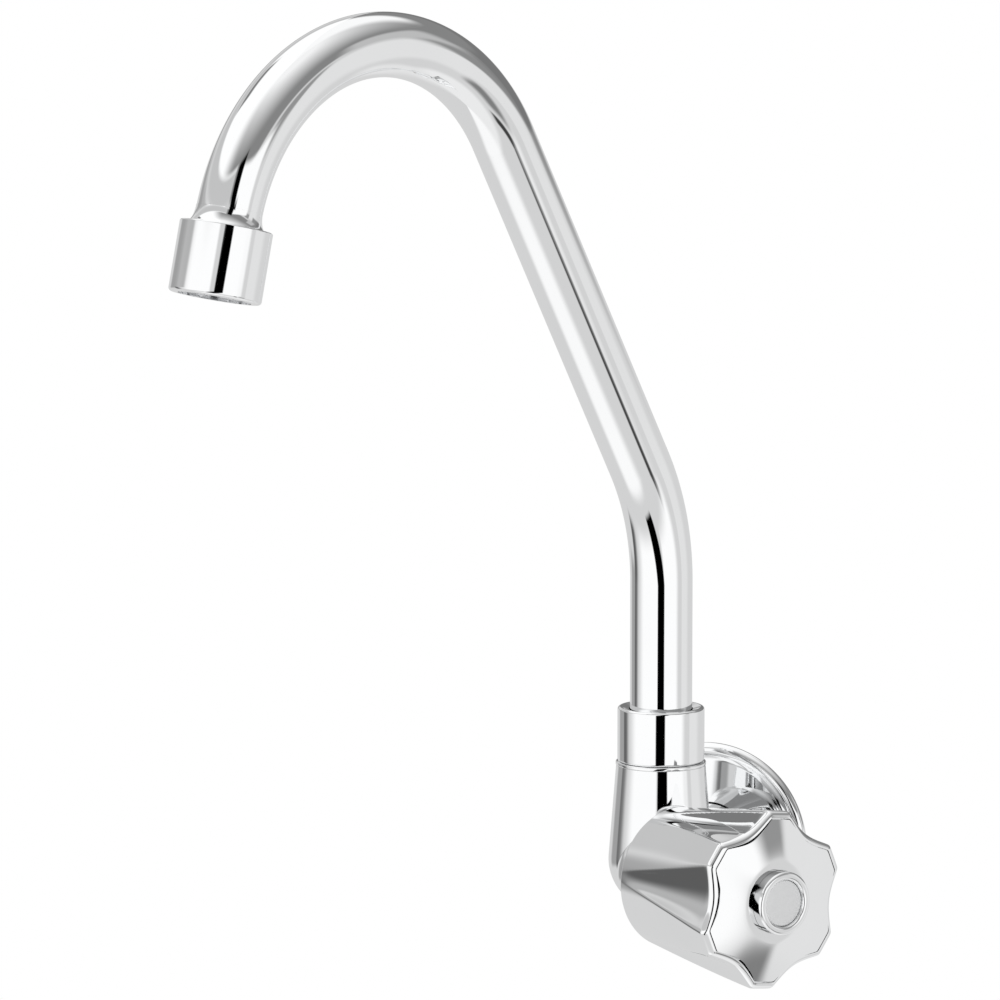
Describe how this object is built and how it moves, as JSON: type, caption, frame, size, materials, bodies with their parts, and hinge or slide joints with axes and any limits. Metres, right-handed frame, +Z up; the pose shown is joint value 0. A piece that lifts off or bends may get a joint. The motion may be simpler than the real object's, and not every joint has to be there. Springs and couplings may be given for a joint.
{
  "type": "wall-mounted kitchen faucet",
  "caption": "Chrome wall faucet with a swivelling gooseneck spout, a lobed handle at its side, an aerator outlet and a round wall flange.",
  "frame": {"origin": "centre of the wall flange's back, on the inlet axis", "axes": "+Y into the wall along the inlet thread, +Z up, +X to the right of a person facing the wall"},
  "size_m": [0.136, 0.2369, 0.284],
  "materials": {
    "chrome": "polished",
    "satin_button": "satin",
    "brass": "turned",
    "rubber": "matte",
    "fibre": "matte",
    "white_plastic": "moulded",
    "steel": "brushed"
  },
  "bodies": {
    "body": {"body_casting": "chrome", "inlet_nipple": "brass", "inlet_seal": "fibre", "wall_flange": "chrome", "flange_grip_ring": "rubber", "swivel_nut": "chrome", "glide_washer": "white_plastic", "valve_seat": "brass", "bonnet_gasket": "fibre", "bonnet": "brass"},
    "spout": {"spout_tube": "chrome", "spout_tail": "brass", "tail_ring_lower": "rubber", "tail_ring_upper": "rubber", "aerator_housing": "chrome", "spout_ferrule": "brass", "aerator_washer": "rubber", "aerator_insert": "white_plastic", "aerator_screen": "steel"},
    "handle": {"handle_shell": "chrome", "handle_insert": "brass", "handle_screw": "steel", "button_ring": "chrome", "button_disc": "satin_button", "spindle": "brass", "spindle_ring": "rubber", "spindle_clip": "steel"},
    "jumper": {"jumper": "brass", "seat_washer": "rubber", "washer_screw": "steel"}
  },
  "joints": [
    {"name": "spout_swivel", "type": "hinge", "parent": "body", "child": "spout", "pos_m": [0, -0.045, 0], "axis": [0, 0, 1], "range_deg": [-69, 111]},
    {"name": "handle_turn", "type": "hinge", "parent": "body", "child": "handle", "pos_m": [-0.003, -0.0502, 0], "axis": [0.866, -0.5, 0], "range_deg": [0, 810]},
    {"name": "washer_lift", "type": "slide", "parent": "body", "child": "jumper", "axis": [0.866, -0.5, 0], "range_m": [0, 0.0045]}
  ],
  "couplings": [
    {"joint": "washer_lift", "follows": "handle_turn", "m_per_rad": 0.0003183}
  ]
}
